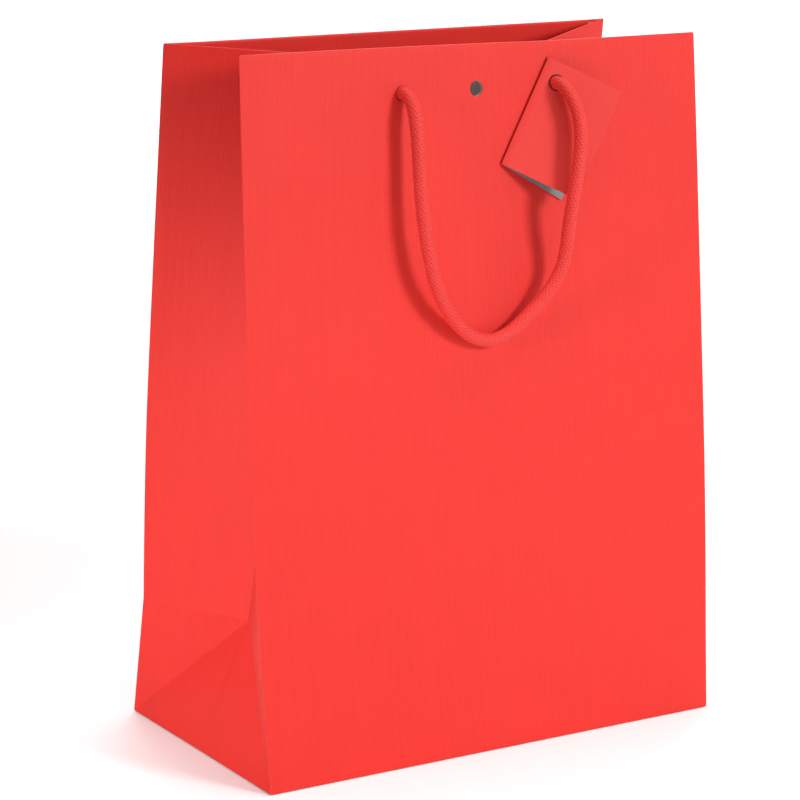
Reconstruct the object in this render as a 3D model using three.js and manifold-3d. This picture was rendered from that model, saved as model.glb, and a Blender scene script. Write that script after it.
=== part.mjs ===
// Paper gift bag with folded gussets, rope handles and a two-leaf tag.
// Millimetres, +Z up. The bag stands on z = 0 with its base centred on the origin,
// and its front panel faces -Y.
import * as THREE from "three";
import { mergeVertices } from "three/addons/utils/BufferGeometryUtils.js";
import Module from "manifold-3d";

const wasm = await Module();
wasm.setup();

// Bag body
const bagWidth = 250;
const bagDepth = 140;
const bagHeight = 336;
const paper = 0.4;
const gap = 0.3;

// The panels lean in and bow a little, as [height, y] of their outer faces.
const foldHeight = 61.5;
const panelBottom = 0.3;
const frontProfile = [[0, -70], [foldHeight, -64.3], [130, -58.6], [214, -51.9], [bagHeight, -42.6]];
const backProfile = [[0, 70], [foldHeight, 58.2], [100, 56.5], [145, 53.8], [204, 47.3], [bagHeight, 31.6]];

// The gusset's centre crease, tucked in from the panels' edges and a little lower than them at the mouth.
const tuckAtFold = 26;
const tuckAtTop = 59.3;
const creaseYAtFold = -1.2;
const creaseYAtTop = -5.5;
const creaseDip = 4.6;
const cornerClearance = 2.2;
const creaseClearance = 0.5;
const facetClearance = 1;
const gussetColumns = 4;

// Turned-over top edge, with a board inside it on the front and the back
const hemDepth = 26;
const boardThickness = 1;
const boardDepth = 24.6;
const hemSetback = 8;
const foldRoom = 1.2;

// Base
const majorFlapReach = 82;
const sideFlapReach = 60;
const sideFlapTaper = 12;
const baseBoard = { width: 244, depth: 135, thickness: 1.2 };
const seamLap = { width: 16, setback: 8, bottom: 8, top: 300 };

// Punched holes, measured down the panel from its top edge
const holeDrop = 20;
const handleHoleSpacing = 83;
const handleHoleRadius = 3.6;
const hangHoleX = -1;
const hangHoleRadius = 3.6;

// Rope handles
const cordRadius = 3.2;
const cordSides = 10;
const cordSteps = 76;
const knotLength = 11;
const knotRadius = 6.2;
const wallStack = paper + gap + boardThickness + gap + paper;
const cordEnd = -(wallStack + 0.6);

// Handle routes as [x, drop from the top edge, stand-off from the panel's face]
const frontRoute = [
  [-41.5, 20, cordEnd], [-41.5, 20, 2], [-41.3, 22.5, 6.5], [-41.1, 28, 9.5], [-41.1, 35.9, 11.2],
  [-40.9, 45.9, 11.8], [-40.9, 56.9, 12.3], [-40.7, 69.3, 13], [-39.6, 82.8, 13.5],
  [-37.3, 96.2, 13.3], [-33.7, 108.2, 12.2], [-27.3, 119.7, 10], [-18.2, 129.6, 7.2], [-8.2, 135.9, 5],
  [-0.1, 137.8, 4.2], [8.4, 136.2, 4.6], [19.1, 128.8, 6.2], [27.9, 119.9, 8.6], [33.2, 112.7, 10.6],
  [36.3, 105.7, 12.4], [37.4, 96.5, 15], [37.2, 84.8, 18.2], [38.1, 70.8, 21.4], [40.5, 58.2, 21.8],
  [42.8, 47.4, 21], [43.8, 37.1, 19], [43.1, 29.6, 16.6], [41.6, 22.6, 12.4], [40.9, 19.8, 7],
  [41.2, 19.8, 2], [41.5, 20, cordEnd],
];
const backHalfRoute = [
  [41.5, 20, cordEnd], [41.5, 20, 2], [41.3, 22.5, 6.5], [41, 28, 9.5], [40.9, 36, 11.2],
  [40.6, 46, 11.8], [40.5, 57, 12.3], [40.2, 70.5, 12.8], [39.2, 85, 13], [37.2, 99, 12.3],
  [33.4, 112.5, 10.8], [26.4, 125, 8.8], [17.2, 134.6, 6.6], [8.2, 140, 5],
];
const backRouteBottom = [0, 141.4, 4.4];

// Tag: two leaves joined along a fold, threaded on the front handle
const tagLength = 56;
const tagWidth = 39;
const tagThickness = 0.35;
const tagFoldTop = { x: 38.9, drop: 7.4 };
const tagTilt = THREE.MathUtils.degToRad(30.1);
const tagOpening = THREE.MathUtils.degToRad(23.4);
const tagStandOff = 0.9;
const tagHole = { along: 9.6, across: 8.6, radius: 4 };

const materials = {
  redPaper: { color: 0xf0483e, roughness: 0.75 },
  board: { color: 0xcfc6b8, roughness: 0.9 },
  cord: { color: 0xe83c33, roughness: 0.85 },
};

const lerp = THREE.MathUtils.lerp;

function interpolate(profile, z) {
  const last = profile.length - 1;
  let i = 1;
  while (i < last && z > profile[i][0]) i += 1;
  const [z0, y0] = profile[i - 1];
  const [z1, y1] = profile[i];
  return lerp(y0, y1, (z - z0) / (z1 - z0));
}

// The value at parameter t of a list of stations spaced evenly in t
function station(list, t) {
  const s = t * (list.length - 1);
  const i = THREE.MathUtils.clamp(Math.floor(s), 0, list.length - 2);
  return lerp(list[i], list[i + 1], s - i);
}

function solidOf(geometry) {
  const plain = geometry.clone();
  plain.deleteAttribute("normal");
  plain.deleteAttribute("uv");
  const merged = mergeVertices(plain, 1e-4);
  return new wasm.Manifold(new wasm.Mesh({
    numProp: 3,
    vertProperties: new Float32Array(merged.attributes.position.array),
    triVerts: new Uint32Array(merged.index.array),
  }));
}

function geometryOf(solid) {
  const mesh = solid.getMesh();
  const geometry = new THREE.BufferGeometry();
  geometry.setAttribute("position", new THREE.BufferAttribute(mesh.vertProperties, 3));
  geometry.setIndex(new THREE.BufferAttribute(mesh.triVerts, 1));
  geometry.computeVertexNormals();
  return geometry;
}

function cut(geometry, tools) {
  const solid = tools.reduce((left, tool) => left.subtract(solidOf(tool)), solidOf(geometry));
  return geometryOf(solid);
}

function piece(name, geometry, finish) {
  const material = new THREE.MeshStandardMaterial({ ...materials[finish], metalness: 0 });
  const mesh = new THREE.Mesh(geometry, material);
  mesh.name = name;
  return mesh;
}

// A box splits the cells of its back face along the other diagonal, which a twisted sheet can't have.
function matchDiagonals(box) {
  const { start, count } = box.groups[5];
  for (let i = start; i < start + count; i += 6) {
    const [a, b, d, , c] = Array.from({ length: 5 }, (_, k) => box.index.getX(i + k));
    [a, b, c, a, c, d].forEach((vertex, k) => box.index.setX(i + k, vertex));
  }
}

// A closed sheet whose outer face is surface(u, v), starting `inset` below that face.
function sheet(surface, columns, rows, thickness, inset = 0) {
  const geometry = new THREE.BoxGeometry(1, 1, 1, columns, rows, 1);
  matchDiagonals(geometry);
  const position = geometry.attributes.position;
  const step = 1e-4;
  for (let i = 0; i < position.count; i += 1) {
    const u = position.getX(i) + 0.5;
    const v = position.getY(i) + 0.5;
    const depth = inset + (0.5 - position.getZ(i)) * thickness;
    const alongU = surface(u + step, v).sub(surface(u - step, v));
    const alongV = surface(u, v + step).sub(surface(u, v - step));
    const normal = alongU.cross(alongV).normalize();
    const point = surface(u, v).addScaledVector(normal, -depth);
    position.setXYZ(i, point.x, point.y, point.z);
  }
  return geometry;
}

// A flat paper facet between corners listed counter-clockwise from outside, drawn in from its edges.
function facet(corners, clearance) {
  const origin = corners[0];
  const along = corners[1].clone().sub(origin).normalize();
  const normal = along.clone().cross(corners[2].clone().sub(origin)).normalize();
  const across = normal.clone().cross(along);
  const flat = corners.map((corner) => {
    const offset = corner.clone().sub(origin);
    return new THREE.Vector2(offset.dot(along), offset.dot(across));
  });
  const centre = flat.reduce((sum, point) => sum.add(point), new THREE.Vector2()).divideScalar(flat.length);
  const edgeDistance = (a, b) => {
    const edge = b.clone().sub(a).normalize();
    return Math.abs(edge.cross(centre.clone().sub(a)));
  };
  const nearest = Math.min(...flat.map((point, i) => edgeDistance(point, flat[(i + 1) % flat.length])));
  const drawnIn = flat.map((point) => point.clone().lerp(centre, clearance / nearest));
  const geometry = new THREE.ExtrudeGeometry(new THREE.Shape(drawnIn), { depth: paper, bevelEnabled: false });
  const basis = new THREE.Matrix4().makeBasis(along, across, normal);
  basis.setPosition(origin.clone().addScaledVector(normal, -paper));
  return geometry.applyMatrix4(basis);
}

// A frame on a panel: x across, drop down from the top edge, standOff out from the outer face.
function panelFrame(profile) {
  const [[z0, y0], [z1, y1]] = profile.slice(-2);
  const lean = Math.atan2(y1 - y0, z1 - z0);
  const outward = Math.sign(y1);
  const down = new THREE.Vector3(0, -Math.sin(lean), -Math.cos(lean));
  const out = new THREE.Vector3(0, outward * Math.cos(lean), -outward * Math.sin(lean));
  const point = (x, drop, standOff) => new THREE.Vector3(x, y1, z1)
    .addScaledVector(down, drop)
    .addScaledVector(out, standOff);
  return { down, out, point };
}

const frontFrame = panelFrame(frontProfile);
const backFrame = panelFrame(backProfile);

function punch(frame, x, radius) {
  const tool = new THREE.CylinderGeometry(radius, radius, 20, 28);
  const turn = new THREE.Quaternion().setFromUnitVectors(new THREE.Vector3(0, 1, 0), frame.out);
  tool.applyQuaternion(turn);
  const centre = frame.point(x, holeDrop, 0);
  return tool.translate(centre.x, centre.y, centre.z);
}

function punches(frame) {
  const reach = handleHoleSpacing / 2;
  return [
    punch(frame, -reach, handleHoleRadius),
    punch(frame, hangHoleX, hangHoleRadius),
    punch(frame, reach, handleHoleRadius),
  ];
}

function panelSurface(profile, halfWidth, heights) {
  const direction = profile.at(-1)[1] < 0 ? 1 : -1;
  return (u, v) => {
    const z = station(heights, v);
    return new THREE.Vector3(direction * lerp(-halfWidth, halfWidth, u), interpolate(profile, z), z);
  };
}

function makePanel(name, profile, frame) {
  const heights = [panelBottom, ...profile.slice(1).map(([z]) => z)];
  const surface = panelSurface(profile, bagWidth / 2, heights);
  return piece(name, cut(sheet(surface, 1, heights.length - 1, paper), punches(frame)), "redPaper");
}

function makeHem(name, profile, frame) {
  const surface = panelSurface(profile, bagWidth / 2 - hemSetback, [bagHeight - hemDepth, bagHeight]);
  const layer = sheet(surface, 1, 1, paper, paper + gap + boardThickness + gap);
  return piece(name, cut(layer, punches(frame)), "redPaper");
}

function makeHemBoard(name, profile, frame) {
  const top = bagHeight - foldRoom;
  const surface = panelSurface(profile, bagWidth / 2 - hemSetback, [top - boardDepth, top]);
  return piece(name, cut(sheet(surface, 1, 1, boardThickness, paper + gap), punches(frame)), "board");
}

function creasePoint(z) {
  const t = (z - foldHeight) / (bagHeight - foldHeight);
  const x = -bagWidth / 2 + lerp(tuckAtFold, tuckAtTop, t);
  return new THREE.Vector3(x, lerp(creaseYAtFold, creaseYAtTop, t), z);
}

// One half of the left gusset above the fold, from a panel's edge in to the centre crease
function gussetHalf(profile, heights, panelClearance) {
  const front = profile === frontProfile;
  return (u, v) => {
    const z = station(heights, v);
    const edge = new THREE.Vector3(-bagWidth / 2, interpolate(profile, z), z);
    const crease = creasePoint(z);
    const span = edge.distanceTo(crease);
    const fromEdge = front ? 1 - u : u;
    const share = lerp(panelClearance / span, 1 - creaseClearance / span, fromEdge);
    const dip = creaseDip * share * (z - foldHeight) / (bagHeight - foldHeight);
    return edge.lerp(crease, share).setZ(z - dip);
  };
}

function makeGussetHalf(profile) {
  const heights = [foldHeight + facetClearance, 100, 145, 204, 255, bagHeight - hemDepth, bagHeight];
  return sheet(gussetHalf(profile, heights, cornerClearance), gussetColumns, heights.length - 1, paper);
}

function makeGussetHem(profile) {
  const heights = [bagHeight - hemDepth, bagHeight];
  return sheet(gussetHalf(profile, heights, hemSetback), gussetColumns, 1, paper, paper + gap);
}

function gussetCorners() {
  const edge = (profile, z) => new THREE.Vector3(-bagWidth / 2, interpolate(profile, z), z);
  return {
    backBottom: edge(backProfile, 0),
    frontBottom: edge(frontProfile, 0),
    backFold: edge(backProfile, foldHeight),
    frontFold: edge(frontProfile, foldHeight),
    centre: creasePoint(foldHeight),
  };
}

function makeGussetPieces(side) {
  const { backBottom, frontBottom, backFold, frontFold, centre } = gussetCorners();
  const pieces = [
    piece(`${side}_gusset_base_facet`, facet([backBottom, frontBottom, centre], facetClearance), "redPaper"),
    piece(`${side}_gusset_back_facet`, facet([backBottom, centre, backFold], facetClearance), "redPaper"),
    piece(`${side}_gusset_front_facet`, facet([frontBottom, frontFold, centre], facetClearance), "redPaper"),
    piece(`${side}_gusset_back_half`, makeGussetHalf(backProfile), "redPaper"),
    piece(`${side}_gusset_front_half`, makeGussetHalf(frontProfile), "redPaper"),
    piece(`${side}_gusset_back_hem`, makeGussetHem(backProfile), "redPaper"),
    piece(`${side}_gusset_front_hem`, makeGussetHem(frontProfile), "redPaper"),
  ];
  if (side === "right") pieces.forEach((mesh) => mesh.scale.set(-1, 1, 1));
  return pieces;
}

function makeSeamLap() {
  const outer = bagWidth / 2 - seamLap.setback;
  const heights = [seamLap.bottom, foldHeight, 100, 145, 204, seamLap.top];
  const surface = (u, v) => {
    const z = station(heights, v);
    return new THREE.Vector3(outer - u * seamLap.width, interpolate(backProfile, z), z);
  };
  return piece("side_seam_lap", sheet(surface, 1, heights.length - 1, paper, paper + gap), "redPaper");
}

function flatPlate(outline, thickness, bottom) {
  const shape = new THREE.Shape(outline.map(([x, y]) => new THREE.Vector2(x, y)));
  return new THREE.ExtrudeGeometry(shape, { depth: thickness, bevelEnabled: false }).translate(0, 0, bottom);
}

function makeMajorFlap(name, side, bottom) {
  const half = bagWidth / 2 - 1;
  const root = side * (bagDepth / 2 - (side < 0 ? 0.7 : 1.1));
  const tip = side * (bagDepth / 2 - majorFlapReach);
  const outline = [[-half, root], [half, root], [half, tip], [-half, tip]];
  if (side > 0) outline.reverse();
  return piece(name, flatPlate(outline, paper, bottom), "redPaper");
}

function makeSideFlap(name, side, bottom) {
  const root = bagWidth / 2 - 1.8;
  const tip = root - sideFlapReach;
  const half = bagDepth / 2 - 2;
  const outline = [[root, -half], [root, half], [tip, half - sideFlapTaper], [tip, -half + sideFlapTaper]];
  const mesh = piece(name, flatPlate(outline, paper, bottom), "redPaper");
  mesh.scale.x = side;
  return mesh;
}

function makeBase() {
  const layer = paper + gap;
  const plate = new THREE.BoxGeometry(baseBoard.width, baseBoard.depth, baseBoard.thickness);
  const board = piece("base_board", plate, "board");
  board.position.z = 3 * layer + baseBoard.thickness / 2;
  return [
    makeMajorFlap("base_flap_front", -1, 0),
    makeMajorFlap("base_flap_back", 1, layer),
    makeSideFlap("base_flap_left", -1, 2 * layer),
    makeSideFlap("base_flap_right", 1, 2 * layer),
    board,
  ];
}

function makeCord(name, frame, route) {
  const path = new THREE.CatmullRomCurve3(route.map((point) => frame.point(...point)));
  const ring = Array.from({ length: cordSides }, (_, i) => {
    const angle = (i / cordSides) * 2 * Math.PI;
    return new THREE.Vector2(cordRadius * Math.cos(angle), cordRadius * Math.sin(angle));
  });
  const options = { steps: cordSteps, extrudePath: path, bevelEnabled: false };
  return piece(name, new THREE.ExtrudeGeometry(new THREE.Shape(ring), options), "cord");
}

function makeKnot(name, frame, x) {
  const half = knotLength / 2;
  const outline = [[0, -half], [3.4, -half], [5.6, -half * 0.7], [knotRadius, -half * 0.2],
    [knotRadius, half * 0.3], [5.2, half * 0.75], [3, half], [0, half]];
  const barrel = new THREE.LatheGeometry(outline.map(([r, y]) => new THREE.Vector2(r, y)), 14);
  const knot = piece(name, barrel, "cord");
  knot.quaternion.setFromUnitVectors(new THREE.Vector3(0, 1, 0), frame.out);
  knot.position.copy(frame.point(x, holeDrop, cordEnd - gap - half));
  return knot;
}

// One tag leaf in its own frame: x across from the fold, y down along the fold, z out of the bag
function makeLeaf(name) {
  const half = tagThickness / 2;
  const leaf = new THREE.BoxGeometry(tagWidth, tagLength, tagThickness);
  leaf.translate(tagWidth / 2 + 0.2, -tagLength / 2, half);
  const tool = new THREE.CylinderGeometry(tagHole.radius, tagHole.radius, 4, 28).rotateX(Math.PI / 2);
  tool.translate(tagHole.across, -tagHole.along, half);
  return piece(name, cut(leaf, [tool]), "redPaper");
}

function makeTag() {
  const tag = new THREE.Group();
  const across = new THREE.Vector3(1, 0, 0);
  const up = frontFrame.down.clone().negate();
  const panelBasis = new THREE.Matrix4().makeBasis(across, up, frontFrame.out);
  tag.quaternion.setFromRotationMatrix(panelBasis);
  tag.position.copy(frontFrame.point(tagFoldTop.x, tagFoldTop.drop, tagStandOff));
  const tilted = new THREE.Group();
  tilted.rotation.z = -tagTilt;
  const backLeaf = makeLeaf("tag_back_leaf");
  const frontLeaf = makeLeaf("tag_front_leaf");
  frontLeaf.position.z = tagThickness + gap;
  frontLeaf.rotation.y = -tagOpening;
  tilted.add(backLeaf, frontLeaf);
  tag.add(tilted);
  return tag;
}

function makeHandles() {
  const reach = handleHoleSpacing / 2;
  const mirrored = backHalfRoute.map(([x, drop, standOff]) => [-x, drop, standOff]);
  const backRoute = [...mirrored, backRouteBottom, ...[...backHalfRoute].reverse()];
  return [
    makeCord("front_handle_cord", frontFrame, frontRoute),
    makeKnot("front_knot_left", frontFrame, -reach),
    makeKnot("front_knot_right", frontFrame, reach),
    makeCord("back_handle_cord", backFrame, backRoute),
    makeKnot("back_knot_left", backFrame, -reach),
    makeKnot("back_knot_right", backFrame, reach),
  ];
}

const bag = new THREE.Group();
bag.add(
  makePanel("front_panel", frontProfile, frontFrame),
  makePanel("back_panel", backProfile, backFrame),
  makeHem("front_hem", frontProfile, frontFrame),
  makeHem("back_hem", backProfile, backFrame),
  makeHemBoard("front_hem_board", frontProfile, frontFrame),
  makeHemBoard("back_hem_board", backProfile, backFrame),
  ...makeGussetPieces("left"),
  ...makeGussetPieces("right"),
  makeSeamLap(),
  ...makeBase(),
  ...makeHandles(),
  makeTag(),
);

export default bag;
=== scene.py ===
"""Paper gift bag: shell, boards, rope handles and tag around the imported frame."""

import math

import bmesh
import bpy
import numpy as np
from mathutils import Matrix, Vector, noise


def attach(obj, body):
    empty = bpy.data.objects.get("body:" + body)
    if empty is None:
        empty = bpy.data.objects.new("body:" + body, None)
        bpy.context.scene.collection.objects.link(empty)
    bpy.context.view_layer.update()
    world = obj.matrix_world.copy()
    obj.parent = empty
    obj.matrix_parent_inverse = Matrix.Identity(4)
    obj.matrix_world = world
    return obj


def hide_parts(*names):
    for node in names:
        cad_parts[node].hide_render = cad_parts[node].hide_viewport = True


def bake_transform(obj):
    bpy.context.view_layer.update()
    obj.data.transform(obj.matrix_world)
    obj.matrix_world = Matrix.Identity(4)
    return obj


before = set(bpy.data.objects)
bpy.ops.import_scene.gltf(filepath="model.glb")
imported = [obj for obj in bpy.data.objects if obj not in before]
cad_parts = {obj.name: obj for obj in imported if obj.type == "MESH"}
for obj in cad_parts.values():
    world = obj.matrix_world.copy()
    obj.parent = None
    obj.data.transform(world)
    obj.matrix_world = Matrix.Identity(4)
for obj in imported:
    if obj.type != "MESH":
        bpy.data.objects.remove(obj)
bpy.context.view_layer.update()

MM = 0.001

# ---------------------------------------------------------------- camera
CAMERA_PLACE = (-0.7678, -1.2164, 0.4902)
CAMERA_AZIMUTH = math.radians(31.79)
CAMERA_ELEVATION = math.radians(12.99)
CAMERA_ROLL = math.radians(0.48)
CAMERA_LENS = 135.9


def make_camera():
    data = bpy.data.cameras.new("camera")
    data.sensor_width = 36
    data.lens = CAMERA_LENS
    data.clip_start = 0.05
    data.clip_end = 50
    camera = bpy.data.objects.new("camera", data)
    bpy.context.scene.collection.objects.link(camera)
    level = math.cos(CAMERA_ELEVATION)
    forward = Vector((
        math.sin(CAMERA_AZIMUTH) * level,
        math.cos(CAMERA_AZIMUTH) * level,
        -math.sin(CAMERA_ELEVATION),
    ))
    flat_right = Vector((math.cos(CAMERA_AZIMUTH), -math.sin(CAMERA_AZIMUTH), 0))
    right = math.cos(CAMERA_ROLL) * flat_right + math.sin(CAMERA_ROLL) * flat_right.cross(forward)
    up = right.cross(forward)
    turn = Matrix((right, up, -forward)).transposed().to_4x4()
    camera.matrix_world = Matrix.Translation(CAMERA_PLACE) @ turn
    bpy.context.scene.camera = camera


make_camera()

# ---------------------------------------------------------------- sizes, in millimetres
HALF_WIDTH = 125
HEIGHT = 336
FOLD = 61.5
FRONT_PROFILE = [(0, -70), (61.5, -64.3), (130, -58.6), (214, -51.9), (336, -42.6)]
BACK_PROFILE = [(0, 70), (61.5, 58.2), (100, 56.5), (145, 53.8), (204, 47.3), (336, 31.6)]
# How far the front panel's side edges stand out beyond the flat width, by height
EDGE_BOW = [
    (0, 0.4), (40, 1.5), (62, 2.1), (100, 2.8), (130, 3.0),
    (170, 2.7), (214, 2.3), (250, 1.9), (290, 1.4), (336, 0.6),
]
TUCK_AT_FOLD = 26
TUCK_AT_TOP = 59.3
CREASE_Y_AT_FOLD = -1.2
CREASE_Y_AT_TOP = -5.5
# How much lower the gusset's centre crease lies than the panels' top edges, at the mouth
CREASE_DIP = 4.6
# How much the front panel's top edge rises to its left corner, from what height the sheet follows,
# and how far to the right of the middle the rise begins, as a share of the half width
TOP_LIFT = 1.75
LIFT_FROM = 260
LIFT_BEGINS = 0.36
# Height of the lip pressed up along the gusset's horizontal crease
FOLD_LIP = 0.6
# How hard the gusset springs off the panel's edge, over what share of its width, and how far its middle sinks
SPRING = 1.1
SPRING_REACH = 0.07
GUSSET_SINK = 0.8
SHEET = 0.24
# Height of the sheet's lowest row
BOTTOM = 0.3
HEM_DEPTH = 26
HEM_GAP_PANEL = 2.3
HEM_GAP_GUSSET = 1.0
# Beside the panel's edges the hem's gap is the corner's up to HEM_CLOSED_TO, and opens over HEM_CLOSING
HEM_GAP_CORNER = 0.9
HEM_CLOSED_TO = 3
HEM_CLOSING = 9
CORNER_ROOM = 2.4
GUSSET_FLAT = 70

# How sharp each fold is, from 0 to 1
PANEL_CREASE = 0.85
HEM_CREASE = 0.95
FOLD_CREASE = 0.8
BASE_CREASE = 0.7

HOLE_DROP = 20
HANDLE_HOLE_X = 41.5
HANG_HOLE_X = -1
HOLE_RADIUS = 3.6

CORD_DIAMETER = 6.4
CORD_END = -3.0
FRONT_ROUTE = [
    (-41.5, 20, CORD_END), (-41.5, 20, 2), (-41.3, 22.5, 6.5), (-41.1, 28, 9.5), (-41.1, 35.9, 11.2),
    (-40.9, 45.9, 11.8), (-40.9, 56.9, 12.3), (-40.7, 69.3, 13), (-39.6, 82.8, 13.5),
    (-37.3, 96.2, 13.3), (-33.7, 108.2, 12.2), (-27.3, 119.7, 10), (-18.2, 129.6, 7.2), (-8.2, 135.9, 5),
    (-0.1, 137.8, 4.2), (8.4, 136.2, 4.6), (19.1, 128.8, 6.2), (27.9, 119.9, 8.6), (33.2, 112.7, 10.6),
    (36.3, 105.7, 12.4), (37.4, 96.5, 15), (37.2, 84.8, 18.2), (38.1, 70.8, 21.4), (40.5, 58.2, 21.8),
    (42.8, 47.4, 21), (43.8, 37.1, 19), (43.1, 29.6, 16.6), (41.6, 22.6, 12.4), (40.9, 19.8, 7),
    (41.2, 19.8, 2), (41.5, 20, CORD_END),
]
BACK_HALF_ROUTE = [
    (41.5, 20, CORD_END), (41.5, 20, 2), (41.3, 22.5, 6.5), (41, 28, 9.5), (40.9, 36, 11.2),
    (40.6, 46, 11.8), (40.5, 57, 12.3), (40.2, 70.5, 12.8), (39.2, 85, 13), (37.2, 99, 12.3),
    (33.4, 112.5, 10.8), (26.4, 125, 8.8), (17.2, 134.6, 6.6), (8.2, 140, 5),
]
BACK_ROUTE_BOTTOM = (0, 141.4, 4.4)
BACK_ROUTE = [(-x, d, o) for x, d, o in BACK_HALF_ROUTE] + [BACK_ROUTE_BOTTOM] + BACK_HALF_ROUTE[::-1]

TAG_LENGTH = 56
TAG_WIDTH = 39
TAG_SHEET = 0.35
TAG_FOLD_TOP = (38.9, 7.4)
TAG_TILT = math.radians(30.1)
TAG_OPENING = math.radians(23.4)
TAG_STAND_OFF = 0.9
TAG_HOLE = (9.6, 8.6, 4.0)


# ---------------------------------------------------------------- shapes of the bag
def along(stations, z):
    """A smooth curve through stations of (height, value)."""
    zs = [s[0] for s in stations]
    vs = [s[1] for s in stations]
    if z <= zs[0] or z >= zs[-1]:
        return float(np.interp(z, zs, vs))
    slopes = np.gradient(np.array(vs, float), np.array(zs, float))
    i = int(np.searchsorted(zs, z)) - 1
    span = zs[i + 1] - zs[i]
    t = (z - zs[i]) / span
    a, b = vs[i], vs[i + 1]
    m, n = slopes[i] * span, slopes[i + 1] * span
    return (
        (2 * t**3 - 3 * t**2 + 1) * a + (t**3 - 2 * t**2 + t) * m
        + (3 * t**2 - 2 * t**3) * b + (t**3 - t**2) * n
    )


def side_y(profile, z):
    """The panel's outer face. Below the fold the back panel is flat."""
    if profile is BACK_PROFILE and z > FOLD:
        return along(profile[1:], z)
    if profile is BACK_PROFILE:
        return float(np.interp(z, [0, FOLD], [profile[0][1], profile[1][1]]))
    return along(profile, z)


def panel_frame(profile):
    """Directions of a panel's upper stretch, and the place at an x, a drop from the top and a stand-off."""
    (z0, y0), (z1, y1) = profile[-2:]
    lean = math.atan2(y1 - y0, z1 - z0)
    outward = math.copysign(1, y1)
    down = Vector((0, -math.sin(lean), -math.cos(lean)))
    out = Vector((0, outward * math.cos(lean), -outward * math.sin(lean)))
    top = Vector((0, y1, z1))

    def place(x, drop, off):
        return Vector((x, 0, 0)) + top + down * drop + out * off

    return {"down": down, "out": out, "place": place}


FRONT = panel_frame(FRONT_PROFILE)
BACK = panel_frame(BACK_PROFILE)


def crease_point(z, side):
    t = (z - FOLD) / (HEIGHT - FOLD)
    x = HALF_WIDTH - (TUCK_AT_FOLD + t * (TUCK_AT_TOP - TUCK_AT_FOLD))
    return Vector((side * x, CREASE_Y_AT_FOLD + t * (CREASE_Y_AT_TOP - CREASE_Y_AT_FOLD), z))


def top_lift(profile, share, z):
    """The front panel's top edge runs up a little towards its left corner."""
    if profile is not FRONT_PROFILE or z < LIFT_FROM:
        return 0
    s = min(1, max(0, (LIFT_BEGINS - share) / (1 + LIFT_BEGINS)))
    return TOP_LIFT * s * (2 - s) * (z - LIFT_FROM) / (HEIGHT - LIFT_FROM)


def edge_point(profile, z, side):
    bow = along(EDGE_BOW, z) if profile is FRONT_PROFILE else 0
    return Vector((side * (HALF_WIDTH + bow), side_y(profile, z), z + top_lift(profile, side, z)))


# ---------------------------------------------------------------- cage of the folded sheet
class Cage:
    """Collects grids of points that share their borders, with the sheet's flat coordinates as UVs."""

    MERGE_WITHIN = 0.04
    CELLS_PER_MM = 10

    def __init__(self):
        self.points = []
        self.index = {}
        self.faces = []
        self.uvs = []
        self.creases = []

    def vertex(self, p):
        cell = [math.floor(c * self.CELLS_PER_MM) for c in p]
        for dx in (-1, 0, 1):
            for dy in (-1, 0, 1):
                for dz in (-1, 0, 1):
                    for i in self.index.get((cell[0] + dx, cell[1] + dy, cell[2] + dz), ()):
                        if (self.points[i] - Vector(p)).length < self.MERGE_WITHIN:
                            return i
        self.index.setdefault(tuple(cell), []).append(len(self.points))
        self.points.append(Vector(p))
        return len(self.points) - 1

    def grid(self, rows, flats, flip):
        ids = [[self.vertex(p) for p in row] for row in rows]
        for j in range(len(ids) - 1):
            for i in range(len(ids[j]) - 1):
                corners = [(j, i), (j, i + 1), (j + 1, i + 1), (j + 1, i)]
                if flip:
                    corners.reverse()
                face, uv = [], []
                for a, b in corners:
                    if ids[a][b] not in face:
                        face.append(ids[a][b])
                        uv.append(flats[a][b])
                if len(face) > 2:
                    self.faces.append(face)
                    self.uvs.append(uv)

    def crease(self, points, weight):
        self.creases.append(([self.vertex(p) for p in points], weight))

    def mesh(self, name):
        data = bpy.data.meshes.new(name)
        data.from_pydata([p * MM for p in self.points], [], self.faces)
        layer = data.uv_layers.new(name="flat")
        flat = [c for uv in self.uvs for c in uv]
        for loop, uv in zip(layer.data, flat):
            loop.uv = (uv[0] * MM, uv[1] * MM)
        edges = {tuple(sorted(e.vertices)): e.index for e in data.edges}
        weights = data.attributes.new("crease_edge", "FLOAT", "EDGE")
        for ids, weight in self.creases:
            for a, b in zip(ids, ids[1:]):
                if tuple(sorted((a, b))) in edges:
                    weights.data[edges[tuple(sorted((a, b)))]].value = weight
        data.update()
        return data


LOWER_ROWS = [0, 0.025, 0.12, 0.25, 0.4, 0.55, 0.7, 0.85, 0.96, 1]
UPPER_ROWS = [FOLD, 64, 76, 100, 130, 160, 190, 214, 240, 265, 290, 306, 320, 331, 335]
HEM_ROWS = [335, 331, 323, 316, HEIGHT - HEM_DEPTH]
HALF_COLUMNS = [0.15, 0.3, 0.45, 0.6, 0.75, 0.88, 0.96, 0.988, 1]
PANEL_COLUMNS = [-share for share in reversed(HALF_COLUMNS)] + [0] + HALF_COLUMNS
GUSSET_COLUMNS = [0, 0.025, 0.08, 0.2, 0.4, 0.6, 0.8, 0.95, 1]


def panel_point(profile, share, z):
    edge = edge_point(profile, z, 1)
    return Vector((share * edge.x, edge.y, z + top_lift(profile, share, z)))


def gusset_normal(profile, z, side):
    """Out of the bag, square to one half of the gusset."""
    edge, crease = edge_point(profile, z, side), crease_point(z, side)
    across = (crease - edge).normalized()
    normal = Vector((across.y, -across.x, 0)).normalized()
    return normal if normal.x * side > 0 else -normal


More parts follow.
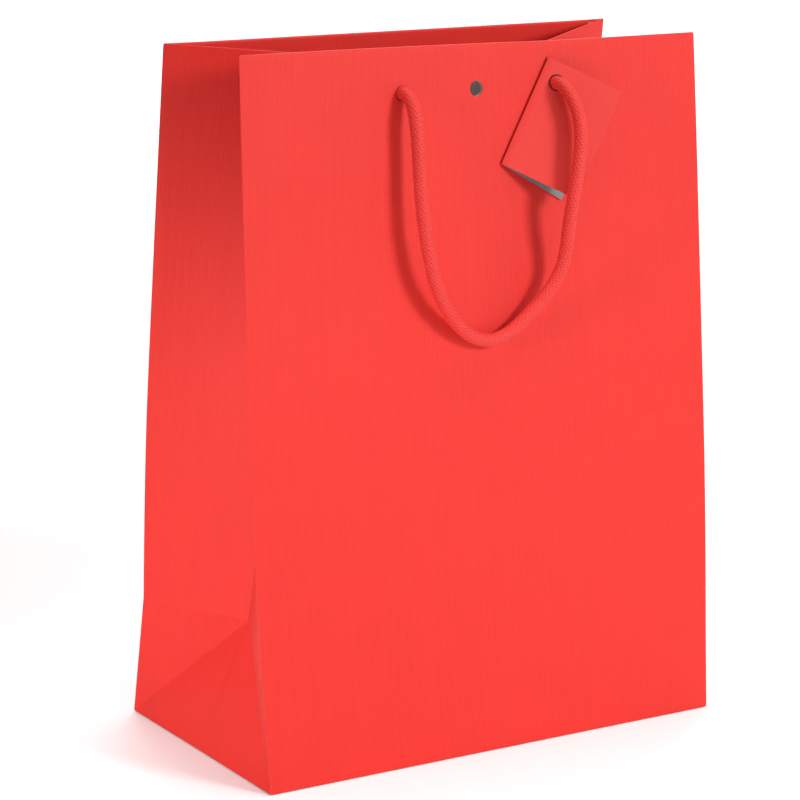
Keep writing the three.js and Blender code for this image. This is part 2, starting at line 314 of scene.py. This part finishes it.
def gusset_bulge(share, z):
    """The sheet springs off the crease at the panel's edge before it runs straight to the centre crease."""
    near = share * math.exp(-share / SPRING_REACH) / SPRING_REACH * SPRING
    level = min(1, max(0, (z - FOLD) / (HEIGHT - FOLD)))
    middle = math.sin(math.pi * share) * GUSSET_SINK * math.sin(math.pi * level)
    return near - middle


def fold_lip(share):
    return FOLD_LIP * min(1, 6 * share) * min(1, 6 * (1 - share))


def gusset_point(profile, share, z, side):
    edge, crease = edge_point(profile, z, side), crease_point(z, side)
    dip = Vector((0, 0, CREASE_DIP * share * max(0, z - FOLD) / (HEIGHT - FOLD)))
    raised = gusset_bulge(share, z) + (fold_lip(share) if z == FOLD else 0)
    return edge.lerp(crease, share) + gusset_normal(profile, z, side) * raised - dip


def hem_gap_panel(share):
    """Between the outer layer and the turned-over one: the board's room, closing up towards the corners."""
    from_edge = (1 - abs(share)) * HALF_WIDTH
    t = min(1, max(0, (from_edge - HEM_CLOSED_TO) / HEM_CLOSING))
    return HEM_GAP_CORNER + (HEM_GAP_PANEL - HEM_GAP_CORNER) * t * t * (3 - 2 * t)


def add_hem(rows, flats, inner, columns, gap_of):
    """Carries the rows over the top edge and down inside the bag."""
    top_rows = []
    for lift, share_of_gap in ((HEIGHT - 0.25, 0.06), (HEIGHT, 0.35), (HEIGHT, 0.65), (HEIGHT - 0.25, 0.94)):
        top_rows.append([inner(c, lift, gap_of(c) * share_of_gap) for c in columns])
    for z in HEM_ROWS:
        top_rows.append([inner(c, z, gap_of(c)) for c in columns])
    rows.extend(top_rows)
    start = flats[-1]
    for j in range(len(top_rows)):
        z = HEIGHT + j * 0.6 if j < 4 else 2 * HEIGHT + 2 - HEM_ROWS[j - 4]
        flats.append([(u, z) for u, _ in start])


def build_side_shell(name, profile):
    """One panel with the halves of both gussets that fold with it, turned over at the mouth."""
    cage = Cage()
    frame_of = FRONT if profile is FRONT_PROFILE else BACK
    outward = frame_of["out"]
    flip = profile is BACK_PROFILE
    bisector = {}
    for side in (-1, 1):
        along_gusset = (crease_point(HEIGHT, side) - edge_point(profile, HEIGHT, side)).normalized()
        bisector[side] = (Vector((-side, 0, 0)) + along_gusset).normalized()

    def corner_inner(side, z, gap):
        return edge_point(profile, z, side) + bisector[side] * gap * CORNER_ROOM

    # panel
    heights = [BOTTOM + t * (FOLD - BOTTOM) for t in LOWER_ROWS] + UPPER_ROWS[1:]
    rows = [[panel_point(profile, c, z) for c in PANEL_COLUMNS] for z in heights]
    flats = [[(c * HALF_WIDTH, z) for c in PANEL_COLUMNS] for z in heights]

    def panel_inner(c, z, gap):
        if abs(c) == 1:
            return corner_inner(c, z, gap)
        return panel_point(profile, c, z) - outward * gap

    add_hem(rows, flats, panel_inner, PANEL_COLUMNS, hem_gap_panel)
    cage.grid(rows, flats, flip)

    for side in (-1, 1):
        turn = flip != (side > 0)
        fold_row = [edge_point(profile, z, side) for z in heights]
        cage.crease(fold_row, PANEL_CREASE)
        # gusset above the fold
        rows = [[gusset_point(profile, s, z, side) for s in GUSSET_COLUMNS] for z in UPPER_ROWS]
        flats = [[(side * (HALF_WIDTH + s * GUSSET_FLAT), z) for s in GUSSET_COLUMNS] for z in UPPER_ROWS]

        def gusset_inner(s, z, gap):
            if s == 0:
                return corner_inner(side, z, gap)
            return gusset_point(profile, s, z, side) - gusset_normal(profile, z, side) * gap

        def gusset_gap(s):
            return hem_gap_panel(1) if s == 0 else HEM_GAP_GUSSET

        add_hem(rows, flats, gusset_inner, GUSSET_COLUMNS, gusset_gap)
        cage.grid(rows, flats, not turn)
        cage.crease([row[0] for row in rows[len(UPPER_ROWS) - 1:]], HEM_CREASE)
        cage.crease([gusset_point(profile, s, FOLD, side) for s in GUSSET_COLUMNS], FOLD_CREASE)
        # lower facet and half of the base triangle
        corner, apex = edge_point(profile, BOTTOM, side), crease_point(FOLD, side)
        middle = Vector((side * HALF_WIDTH, 0, BOTTOM))
        facet, facet_flat, base, base_flat = [], [], [], []
        for t in LOWER_ROWS:
            z = BOTTOM + t * (FOLD - BOTTOM)
            edge = edge_point(profile, z, side)
            ridge = corner.lerp(apex, t)
            centre = middle.lerp(apex, t)
            lift = gusset_normal(profile, FOLD, side)
            facet.append([
                edge.lerp(ridge, s) + lift * (gusset_bulge(s, FOLD) * t + (fold_lip(s) if t == 1 else 0))
                for s in GUSSET_COLUMNS
            ])
            facet_flat.append([(side * (HALF_WIDTH + s * t * GUSSET_FLAT), z) for s in GUSSET_COLUMNS])
            base.append([ridge.lerp(centre, s) for s in GUSSET_COLUMNS])
            base_flat.append([
                (side * (HALF_WIDTH + (t + (1 - t) * s) * GUSSET_FLAT), z)
                for s in GUSSET_COLUMNS
            ])
        cage.grid(facet, facet_flat, not turn)
        cage.grid(base, base_flat, not turn)
        cage.crease([row[-1] for row in facet], BASE_CREASE)
    return cage.mesh(name)


# ---------------------------------------------------------------- materials
RED = (0.66, 0.020, 0.013)
CARD_RED = (0.67, 0.038, 0.030)


def new_material(name):
    material = bpy.data.materials.new(name)
    material.use_nodes = True
    tree = material.node_tree
    tree.nodes.clear()
    output = tree.nodes.new("ShaderNodeOutputMaterial")
    shader = tree.nodes.new("ShaderNodeBsdfPrincipled")
    tree.links.new(shader.outputs["BSDF"], output.inputs["Surface"])
    return material, tree, shader


def node(tree, kind, inputs=None, **settings):
    made = tree.nodes.new(kind)
    for key, value in settings.items():
        setattr(made, key, value)
    for key, value in (inputs or {}).items():
        if isinstance(value, bpy.types.NodeSocket):
            tree.links.new(value, made.inputs[key])
        else:
            made.inputs[key].default_value = value
    return made


def shade(colour, factor):
    return tuple(min(1, c * factor) for c in colour) + (1,)


def ramp(tree, value, stops):
    made = tree.nodes.new("ShaderNodeValToRGB")
    tree.links.new(value, made.inputs["Fac"])
    elements = made.color_ramp.elements
    while len(elements) > len(stops):
        elements.remove(elements[-1])
    while len(elements) < len(stops):
        elements.new(1)
    for element, (position, colour) in zip(elements, stops):
        element.position = position
        element.color = colour
    return made


RIB_PITCH = 0.00135


def paper_material(name, colour, coordinates, roughness, rib_depth, grain_depth):
    """Laid paper: fine ribs along the sheet's height, with a soft fibre grain and a little mottling. The
    colour is a little darker in the ribs' grooves, which is painted shade, and varies at random with the
    mottling.
    """
    material, tree, shader = new_material(name)
    coord = node(tree, "ShaderNodeTexCoord")
    source = coord.outputs[coordinates]
    object_space = coord.outputs["Object"]
    stretch = node(tree, "ShaderNodeMapping", {"Vector": source, "Scale": (400, 6, 6)})
    uneven = node(
        tree, "ShaderNodeTexNoise",
        {"Vector": stretch.outputs[0], "Scale": 1.0, "Detail": 2.0, "Roughness": 0.6},
    )
    across = node(tree, "ShaderNodeSeparateXYZ", {0: source})
    turns = node(
        tree, "ShaderNodeMath",
        {0: across.outputs[0], 1: 2 * math.pi / RIB_PITCH}, operation="MULTIPLY",
    )
    shifted = node(
        tree, "ShaderNodeMath",
        {0: uneven.outputs["Fac"], 1: 2.5, 2: turns.outputs[0]}, operation="MULTIPLY_ADD",
    )
    wave = node(tree, "ShaderNodeMath", {0: shifted.outputs[0]}, operation="SINE")
    ribs = node(
        tree, "ShaderNodeMath",
        {0: wave.outputs[0], 1: 0.3, 2: uneven.outputs["Fac"]}, operation="MULTIPLY_ADD",
    )
    grain = node(
        tree, "ShaderNodeTexNoise",
        {"Vector": object_space, "Scale": 1900.0, "Detail": 4.0, "Roughness": 0.65},
    )
    mottle = node(
        tree, "ShaderNodeTexNoise",
        {"Vector": object_space, "Scale": 38.0, "Detail": 3.0, "Roughness": 0.55},
    )
    mixed = node(tree, "ShaderNodeMath", {0: ribs.outputs[0], 1: mottle.outputs["Fac"]}, operation="ADD")
    groove_shade_and_mottle = node(tree, "ShaderNodeMath", {0: mixed.outputs[0], 1: 0.5}, operation="MULTIPLY")
    # Darker in the ribs' grooves (painted shade) and varying at random with the mottling.
    tones = [(0.3, shade(colour, 0.955)), (0.5, shade(colour, 1.0)), (0.7, shade(colour, 1.035))]
    tone = ramp(tree, groove_shade_and_mottle.outputs[0], tones)
    tree.links.new(tone.outputs["Color"], shader.inputs["Base Color"])
    rough = node(
        tree, "ShaderNodeMapRange",
        {"Value": grain.outputs["Fac"], "To Min": roughness - 0.05, "To Max": roughness + 0.06},
    )
    tree.links.new(rough.outputs["Result"], shader.inputs["Roughness"])
    shader.inputs["Specular IOR Level"].default_value = 0.28
    rib_bump = node(
        tree, "ShaderNodeBump",
        {"Height": ribs.outputs[0], "Strength": 1.0, "Distance": rib_depth},
    )
    grain_height = {"Height": grain.outputs["Fac"], "Strength": 1.0, "Distance": grain_depth}
    grain_bump = node(tree, "ShaderNodeBump", {**grain_height, "Normal": rib_bump.outputs[0]})
    tree.links.new(grain_bump.outputs[0], shader.inputs["Normal"])
    return material


def board_material(name, colour):
    material, tree, shader = new_material(name)
    coord = node(tree, "ShaderNodeTexCoord").outputs["Object"]
    fibre = node(
        tree, "ShaderNodeTexNoise",
        {"Vector": coord, "Scale": 900.0, "Detail": 5.0, "Roughness": 0.7},
    )
    flecks = node(tree, "ShaderNodeTexVoronoi", {"Vector": coord, "Scale": 420.0})
    tones = [(0.3, shade(colour, 0.86)), (0.55, shade(colour, 1.0)), (0.75, shade(colour, 1.1))]
    tone = ramp(tree, fibre.outputs["Fac"], tones)
    speck = ramp(tree, flecks.outputs["Distance"], [(0.04, (0.45, 0.4, 0.34, 1)), (0.09, (1, 1, 1, 1))])
    mixed = node(tree, "ShaderNodeMix", data_type="RGBA", blend_type="MULTIPLY")
    mixed.inputs["Factor"].default_value = 0.5
    tree.links.new(tone.outputs["Color"], mixed.inputs["A"])
    tree.links.new(speck.outputs["Color"], mixed.inputs["B"])
    tree.links.new(mixed.outputs["Result"], shader.inputs["Base Color"])
    shader.inputs["Roughness"].default_value = 0.85
    bump = node(
        tree, "ShaderNodeBump",
        {"Height": fibre.outputs["Fac"], "Strength": 0.7, "Distance": 0.00015},
    )
    tree.links.new(bump.outputs[0], shader.inputs["Normal"])
    return material


def cord_material(name):
    """Knitted polyester: the stitches stand in the mesh, and the yarn's fibres are in the bump. The colour is
    darkened between the stitches and lightened on their crests: painted shade and painted highlight.
    """
    material, tree, shader = new_material(name)
    stitch_height_for_painted_shade = node(tree, "ShaderNodeAttribute", attribute_name="stitch_height_for_painted_shade")
    coord = node(tree, "ShaderNodeTexCoord").outputs["Object"]
    fibre = node(
        tree, "ShaderNodeTexNoise",
        {"Vector": coord, "Scale": 3200.0, "Detail": 3.0, "Roughness": 0.6},
    )
    # Painted shade between the stitches, painted highlight on their crests.
    tones = [(0.0, shade(RED, 0.4)), (0.35, shade(RED, 0.85)), (0.8, shade(RED, 1.15))]
    tone = ramp(tree, stitch_height_for_painted_shade.outputs["Fac"], tones)
    tree.links.new(tone.outputs["Color"], shader.inputs["Base Color"])
    shader.inputs["Roughness"].default_value = 0.62
    shader.inputs["Sheen Weight"].default_value = 0.25
    shader.inputs["Sheen Roughness"].default_value = 0.4
    shader.inputs["Sheen Tint"].default_value = (1.0, 0.45, 0.4, 1)
    bump = node(
        tree, "ShaderNodeBump",
        {"Height": fibre.outputs["Fac"], "Strength": 0.8, "Distance": 0.00012},
    )
    tree.links.new(bump.outputs[0], shader.inputs["Normal"])
    return material


red_paper = paper_material("red_paper", RED, "UV", 0.55, 0.00009, 0.00003)
red_plain = paper_material("red_plain", RED, "Object", 0.55, 0.00005, 0.00003)
# The paper's white reverse side is drawn mid grey here: painted shade for the inside of the bag.
white_paper_painted_shade = paper_material("white_paper_painted_shade", (0.62, 0.62, 0.61), "UV", 0.8, 0.00006, 0.00004)
white_plain_painted_shade = paper_material("white_plain_painted_shade", (0.62, 0.62, 0.61), "Object", 0.8, 0.00004, 0.00004)
red_card = paper_material("red_card", CARD_RED, "UV", 0.5, 0.00002, 0.00003)
# The tag card's white inside is drawn dark grey: painted shade.
card_inside_painted_shade = paper_material("card_inside_painted_shade", (0.2, 0.203, 0.2), "UV", 0.8, 0.00006, 0.00004)
cut_edge = paper_material("cut_edge", (0.6, 0.018, 0.012), "Object", 0.85, 0.00001, 0.00004)
grey_board = board_material("grey_board", (0.42, 0.4, 0.36))
lined_board = board_material("lined_board", (0.72, 0.71, 0.68))
rope = cord_material("rope")


# ---------------------------------------------------------------- making the pieces
def new_object(name, data, materials):
    made = bpy.data.objects.new(name, data)
    bpy.context.scene.collection.objects.link(made)
    for material in materials:
        data.materials.append(material)
    return made


def applied(made):
    """The object's mesh with its modifiers in it."""
    graph = bpy.context.evaluated_depsgraph_get()
    data = bpy.data.meshes.new_from_object(
        made.evaluated_get(graph), preserve_all_data_layers=True, depsgraph=graph,
    )
    made.modifiers.clear()
    old = made.data
    made.data = data
    bpy.data.meshes.remove(old)
    return made


def subdivide(made, levels):
    modifier = made.modifiers.new("smooth", "SUBSURF")
    modifier.levels = levels
    modifier.render_levels = levels
    modifier.boundary_smooth = "PRESERVE_CORNERS"
    return applied(made)


def thicken(made, thickness):
    modifier = made.modifiers.new("thickness", "SOLIDIFY")
    modifier.thickness = thickness
    modifier.offset = -1
    modifier.material_offset = 1
    modifier.material_offset_rim = 2
    return applied(made)


def punch(made, centres, axis, radius, depth):
    """Cuts round holes straight through every layer of the sheet."""
    turn = axis.to_track_quat("Z", "Y").to_matrix().to_4x4()
    cutters = []
    for centre in centres:
        data = bpy.data.meshes.new("cutter")
        shape = bmesh.new()
        bmesh.ops.create_cone(shape, cap_ends=True, segments=40, radius1=radius, radius2=radius, depth=depth)
        shape.to_mesh(data)
        shape.free()
        cutter = new_object("cutter", data, [cut_edge])
        cutter.matrix_world = Matrix.Translation(centre) @ turn
        modifier = made.modifiers.new("hole", "BOOLEAN")
        modifier.operation = "DIFFERENCE"
        modifier.solver = "EXACT"
        modifier.object = cutter
        modifier.material_mode = "TRANSFER"
        cutters.append(cutter)
    bpy.context.view_layer.update()
    applied(made)
    for cutter in cutters:
        bpy.data.objects.remove(cutter)
    return made


# Around the gusset's lower apex, where three creases meet, the reverse side is drawn in by this much
APEX_REACH = 16
APEX_ROOM = 1.4
# Above TUCK_FROM, the reverse side this near to a panel's edge is kept a least distance inside it
TUCK_FROM = 12
TUCK_WIDTH = 2.5
TUCK_DEPTH = 4
TUCK_LEAST_ROOM = 0.7
TUCK_LEAST_DEPTH = 0.2
TUCK_SLOPE = 0.9


def tuck_reverse(made, profile):
    """Keeps the sheet's reverse side within the sharp folds at the panel's edges."""
    data = made.data
    outer = {i for face in data.polygons if face.material_index == 0 for i in face.vertices}
    inward = -math.copysign(1, profile[0][1])
    for v in data.vertices:
        x, y, z = v.co / MM
        if v.index in outer or not TUCK_FROM < z < HEIGHT - HEM_DEPTH - 1:
            continue
        side = math.copysign(1, x)
        from_apex = (v.co / MM - crease_point(FOLD, side)).length
        if from_apex < APEX_REACH:
            v.co.x -= side * APEX_ROOM * (1 - from_apex / APEX_REACH) * MM
            continue
        edge = edge_point(profile, z, side)
        room = abs(edge.x) - abs(x)
        inside = (y - edge.y) * inward
        if room > TUCK_WIDTH or inside > TUCK_DEPTH:
            continue
        room = max(room, TUCK_LEAST_ROOM)
        depth = min(max(inside, TUCK_LEAST_DEPTH), TUCK_SLOPE * room)
        v.co.x = math.copysign(abs(edge.x) - room, x) * MM
        v.co.y = (edge.y + inward * depth) * MM


def smooth_shade(made, angle=55):
    made.data.shade_smooth()
    made.data.set_sharp_from_angle(angle=math.radians(angle))
    return made


# The ripple fades out over these distances: above the floor, below the mouth and beside the folds
FADE_FLOOR = 0.02
FADE_MOUTH = 0.05
FADE_FOLD = 15


def ripple(made, size, amount, seed):
    """The sheet's slight unevenness, square to its face."""
    data = made.data
    normals = [v.normal.copy() for v in data.vertices]
    for v, normal in zip(data.vertices, normals):
        where = v.co / size + Vector((seed, seed * 1.7, seed * 0.6))
        fade = min(1, max(0, v.co.z / FADE_FLOOR))
        fade *= min(1, max(0, (HEIGHT * MM + 0.001 - v.co.z) / FADE_MOUTH))
        from_fold = HALF_WIDTH - abs(v.co.x) / MM
        fade *= min(1, max(0, from_fold / FADE_FOLD))
        v.co += normal * (noise.noise(where) * amount * fade)
    data.update()


def make_side(name, profile, frame_of, nodes, seed):
    made = new_object(name, build_side_shell(name, profile), [red_paper, white_paper_painted_shade, cut_edge])
    subdivide(made, 2)
    ripple(made, 0.07, 0.0005, seed)
    thicken(made, SHEET * MM)
    tuck_reverse(made, profile)
    centres = [frame_of["place"](x, HOLE_DROP, -1) * MM for x in (-HANDLE_HOLE_X, HANG_HOLE_X, HANDLE_HOLE_X)]
    punch(made, centres, frame_of["out"], HOLE_RADIUS * MM, 10 * MM)
    smooth_shade(made)
    chord = Vector((0, profile[0][1], 0)), Vector((0, profile[-1][1], HEIGHT))
    inward = Vector((0, -(chord[1] - chord[0]).z, (chord[1] - chord[0]).y)).normalized()
    if inward.y * profile[0][1] > 0:
        inward = -inward
    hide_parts(*nodes)
    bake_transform(made)
    return made


def side_nodes(which):
    nodes = [which + "_panel", which + "_hem"]
    for side in ("left", "right"):
        nodes += [f"{side}_gusset_{which}_{part}" for part in ("half", "facet", "hem")]
    return nodes


front_nodes = side_nodes("front") + ["left_gusset_base_facet"]
back_nodes = side_nodes("back") + ["right_gusset_base_facet"]
make_side("front_shell", FRONT_PROFILE, FRONT, front_nodes, 3.1)
make_side("back_shell", BACK_PROFILE, BACK, back_nodes, 8.4)


# ---------------------------------------------------------------- ropes
def curve_through(points, step):
    """Centripetal curve through the points, sampled evenly."""
    ps = [np.array(p, float) for p in points]
    dense = []
    for i in range(len(ps) - 1):
        p1, p2 = ps[i], ps[i + 1]
        p0 = ps[i - 1] if i else 2 * p1 - p2
        p3 = ps[i + 2] if i + 2 < len(ps) else 2 * p2 - p1
        pairs = ((p0, p1), (p1, p2), (p2, p3))
        d0, d1, d2 = (max(1e-4, float(np.sum((a - b) ** 2)) ** 0.25) for a, b in pairs)
        m1 = ((p1 - p0) / d0 - (p2 - p0) / (d0 + d1) + (p2 - p1) / d1) * d1
        m2 = ((p2 - p1) / d1 - (p3 - p1) / (d1 + d2) + (p3 - p2) / d2) * d1
        for t in np.linspace(0, 1, 24, endpoint=False):
            squared = (-3 * p1 + 3 * p2 - 2 * m1 - m2) * t**2
            cubed = (2 * p1 - 2 * p2 + m1 + m2) * t**3
            dense.append(p1 + m1 * t + squared + cubed)
    dense.append(ps[-1])
    dense = np.array(dense)
    run = np.concatenate([[0], np.cumsum(np.linalg.norm(np.diff(dense, axis=0), axis=1))])
    count = max(4, int(round(run[-1] / step)))
    even = np.linspace(0, run[-1], count + 1)
    return np.stack([np.interp(even, run, dense[:, k]) for k in range(3)], 1), run[-1]


KNIT_COLUMNS = 10
KNIT_PITCH = 1.5
KNIT_DEPTH = 0.36
RING = 60


def knitted_tube(name, points, radius, step=0.34):
    """A tube of slanted stitches. The mesh's stitch-height attribute is 0 between stitches and 1 on them; the
    rope material paints shade between the stitches and a highlight on their crests from it.
    """
    line, _ = curve_through(points, step)
    tangents = np.gradient(line, axis=0)
    tangents /= np.linalg.norm(tangents, axis=1)[:, None]
    across = np.cross(tangents[0], [0.3, 0.1, 1.0])
    across /= np.linalg.norm(across)
    angles = np.arange(RING) / RING * 2 * np.pi
    column = angles * KNIT_COLUMNS
    verts, heights = [], []
    run = 0.0
    for i, (p, tangent) in enumerate(zip(line, tangents)):
        if i:
            run += float(np.linalg.norm(p - line[i - 1]))
            across = across - tangent * float(across @ tangent)
            across /= np.linalg.norm(across)
        other = np.cross(tangent, across)
        row = 2 * np.pi * run / KNIT_PITCH
        height = (0.5 + 0.25 * (np.cos(column + 0.5 * row) + np.cos(row - 0.3 * column))) ** 0.7
        r = radius - KNIT_DEPTH * (1 - height)
        ring = p + r[:, None] * (np.cos(angles)[:, None] * across + np.sin(angles)[:, None] * other)
        verts.append(ring)
        heights.append(height)
    rings = len(verts)
    verts = np.concatenate(verts)
    heights = np.concatenate(heights)
    faces = []
    for j in range(rings - 1):
        for i in range(RING):
            k = (i + 1) % RING
            faces.append((j * RING + i, j * RING + k, (j + 1) * RING + k, (j + 1) * RING + i))
    faces.append(tuple(reversed(range(RING))))
    faces.append(tuple((rings - 1) * RING + i for i in range(RING)))
    data = bpy.data.meshes.new(name)
    data.from_pydata([tuple(v * MM) for v in verts], [], faces)
    layer = data.attributes.new("stitch_height_for_painted_shade", "FLOAT", "POINT")
    layer.data.foreach_set("value", heights.astype(np.float32))
    data.update()
    made = new_object(name, data, [rope])
    made.data.shade_smooth()
    return made, line


def make_knot(name, frame_of, x, body, mirror):
    """An overhand knot pulled against the wall, with a short cut end."""
    knot = []
    for a in np.linspace(-2.75, 2.75, 26):
        knot.append((
            2.15 * (math.sin(a) + 1.35 * math.sin(2 * a)) * mirror,
            -2.15 * (math.cos(a) - 1.35 * math.cos(2 * a)),
            -7.4 - 1.9 * math.sin(3 * a),
        ))
    tail = [(1.5 * mirror, 6.5, -10.2), (4.5 * mirror, 8, -9.8)]
    route = [(0, 0, -2.2), (0, 0.4, -3.8)] + knot + tail
    points = [frame_of["place"](x + p[0], HOLE_DROP - p[1], p[2]) for p in route]
    made, _ = knitted_tube(name, points, CORD_DIAMETER / 2 - 0.35)
    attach(made, body)
    return made


def make_handle(which, frame_of, route):
    points = [frame_of["place"](*p) for p in route]
    made, line = knitted_tube(which + "_rope", points, CORD_DIAMETER / 2 + 0.1)
    for side, x in (("left", -HANDLE_HOLE_X), ("right", HANDLE_HOLE_X)):
        knot = make_knot(f"{which}_{side}_knot", frame_of, x, which + "_side", 1 if x > 0 else -1)
        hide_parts(f"{which}_knot_{side}")
    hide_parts(which + "_handle_cord")
    start, end = frame_of["place"](0, 20, 1) * MM, frame_of["place"](0, 45, 9) * MM
    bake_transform(made)
    tuple(frame_of["place"](*route[0]) * MM)
    return made


make_handle("front", FRONT, FRONT_ROUTE)
make_handle("back", BACK, BACK_ROUTE)


# ---------------------------------------------------------------- tag
def tag_matrix(opening, lift):
    basis = Matrix((Vector((1, 0, 0)), -FRONT["down"], FRONT["out"])).transposed().to_4x4()
    place = Matrix.Translation(FRONT["place"](TAG_FOLD_TOP[0], TAG_FOLD_TOP[1], TAG_STAND_OFF))
    tilt = Matrix.Rotation(-TAG_TILT, 4, "Z")
    return place @ basis @ tilt @ Matrix.Translation((0, 0, lift)) @ Matrix.Rotation(-opening, 4, "Y")


def make_leaf(name, node_name, body, opening, lift, face_up, curl):
    """One leaf of the tag: red outside, its white inside drawn dark grey as painted shade, with a rolled edge
    at the fold.
    """
    columns, rows = 26, 36
    facing = 1 if face_up else -1
    level = TAG_SHEET if face_up else 0
    matrix = tag_matrix(opening, lift)
    points, flats = [], []
    for j in range(rows + 1):
        v = -TAG_LENGTH * j / rows
        line, flat = [], []
        for i in range(columns + 1):
            u = TAG_WIDTH * i / columns
            bow = 0.35 * math.sin(math.pi * u / TAG_WIDTH) * math.sin(math.pi * j / rows)
            bend = curl * (u / TAG_WIDTH) ** 2 + bow
            near = math.exp(-u / 0.5) * -0.32 * facing
            height = level + bend * (1 if face_up else 0.3) + near
            line.append(matrix @ Vector((0.15 + u, v, height)))
            flat.append((u, v))
        points.append(line)
        flats.append(flat)
    cage = Cage()
    cage.grid(points, flats, face_up)
    data = cage.mesh(name)
    made = new_object(name, data, [red_card, card_inside_painted_shade, cut_edge])
    thicken(made, TAG_SHEET * MM)
    centre = matrix @ Vector((TAG_HOLE[1], -TAG_HOLE[0], TAG_SHEET / 2))
    axis = (matrix.to_3x3() @ Vector((0, 0, 1))).normalized()
    punch(made, [centre * MM], axis, TAG_HOLE[2] * MM, 3 * MM)
    smooth_shade(made, 40)
    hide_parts(node_name)
    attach(made, body)
    return made


make_leaf("tag_back", "tag_back_leaf", "tag", 0, 0, False, 0)
make_leaf("tag_cover", "tag_front_leaf", "tag_cover", TAG_OPENING, TAG_SHEET + 0.3, True, 0.8)

# ---------------------------------------------------------------- pieces kept from the frame
KEPT = {
    "front_hem_board": grey_board,
    "back_hem_board": grey_board,
    "base_board": lined_board,
    # The seam lap takes the inner paper's grey, which is painted shade.
    "side_seam_lap": white_plain_painted_shade,
    "base_flap_front": red_plain,
    "base_flap_back": red_plain,
    "base_flap_left": red_plain,
    "base_flap_right": red_plain,
}
for kept_name, kept_material in KEPT.items():
    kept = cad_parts[kept_name]
    kept.data.materials.clear()
    kept.data.materials.append(kept_material)


# ---------------------------------------------------------------- floor and light
def make_floor():
    data = bpy.data.meshes.new("floor")
    size = 8
    corners = [(-size, -size, 0), (size, -size, 0), (size, size, 0), (-size, size, 0)]
    data.from_pydata(corners, [], [(0, 1, 2, 3)])
    material, tree, shader = new_material("floor")
    coord = node(tree, "ShaderNodeTexCoord").outputs["Object"]
    texture = node(tree, "ShaderNodeTexNoise", {"Vector": coord, "Scale": 3.0, "Detail": 2.0})
    tone = ramp(tree, texture.outputs["Fac"], [(0.3, (0.93, 0.93, 0.93, 1)), (0.7, (0.95, 0.95, 0.95, 1))])
    tree.links.new(tone.outputs["Color"], shader.inputs["Base Color"])
    shader.inputs["Roughness"].default_value = 0.9
    shader.inputs["Specular IOR Level"].default_value = 0.1
    floor = new_object("floor", data, [material])
    floor.location.z = -0.0002


def make_world():
    world = bpy.data.worlds.new("studio")
    bpy.context.scene.world = world
    world.use_nodes = True
    tree = world.node_tree
    tree.nodes.clear()
    output = tree.nodes.new("ShaderNodeOutputWorld")
    background = tree.nodes.new("ShaderNodeBackground")
    tree.links.new(background.outputs[0], output.inputs["Surface"])
    coord = node(tree, "ShaderNodeTexCoord").outputs["Generated"]
    split = node(tree, "ShaderNodeSeparateXYZ", {0: coord})
    limits = {"From Min": -0.7, "From Max": 0.25, "To Min": 0.28, "To Max": 0.42}
    level = node(tree, "ShaderNodeMapRange", {"Value": split.outputs[0], **limits})
    level.interpolation_type = "SMOOTHSTEP"
    tree.links.new(level.outputs["Result"], background.inputs["Strength"])
    background.inputs["Color"].default_value = (1, 1, 1, 1)


def make_light(name, place, target, size, power):
    data = bpy.data.lights.new(name, "AREA")
    data.shape = "DISK"
    data.size = size
    data.energy = power
    light = bpy.data.objects.new(name, data)
    bpy.context.scene.collection.objects.link(light)
    light.location = place
    light.rotation_euler = (Vector(target) - Vector(place)).to_track_quat("-Z", "Y").to_euler()


def make_spot(name, place, target, cone, power):
    data = bpy.data.lights.new(name, "SPOT")
    data.spot_size = math.radians(cone)
    data.spot_blend = 0.8
    data.shadow_soft_size = 0.1
    data.energy = power
    light = bpy.data.objects.new(name, data)
    bpy.context.scene.collection.objects.link(light)
    light.location = place
    light.rotation_euler = (Vector(target) - Vector(place)).to_track_quat("-Z", "Y").to_euler()


make_floor()
make_world()
make_light("key", (0.62, -1.46, 0.76), (0, 0, 0.17), 0.45, 17.5)
make_light("top", (0, -0.1, 1.6), (0, -0.1, 0), 0.9, 11)
make_light("backdrop", (1.6, 2.8, 2.2), (1.2, 2.2, 0), 3.2, 88)
make_spot("low", (-1.3, -0.35, 0.38), (-0.11, 0, 0.09), 22, 50)

bpy.context.scene.view_settings.view_transform = "Standard"
bpy.context.view_layer.update()
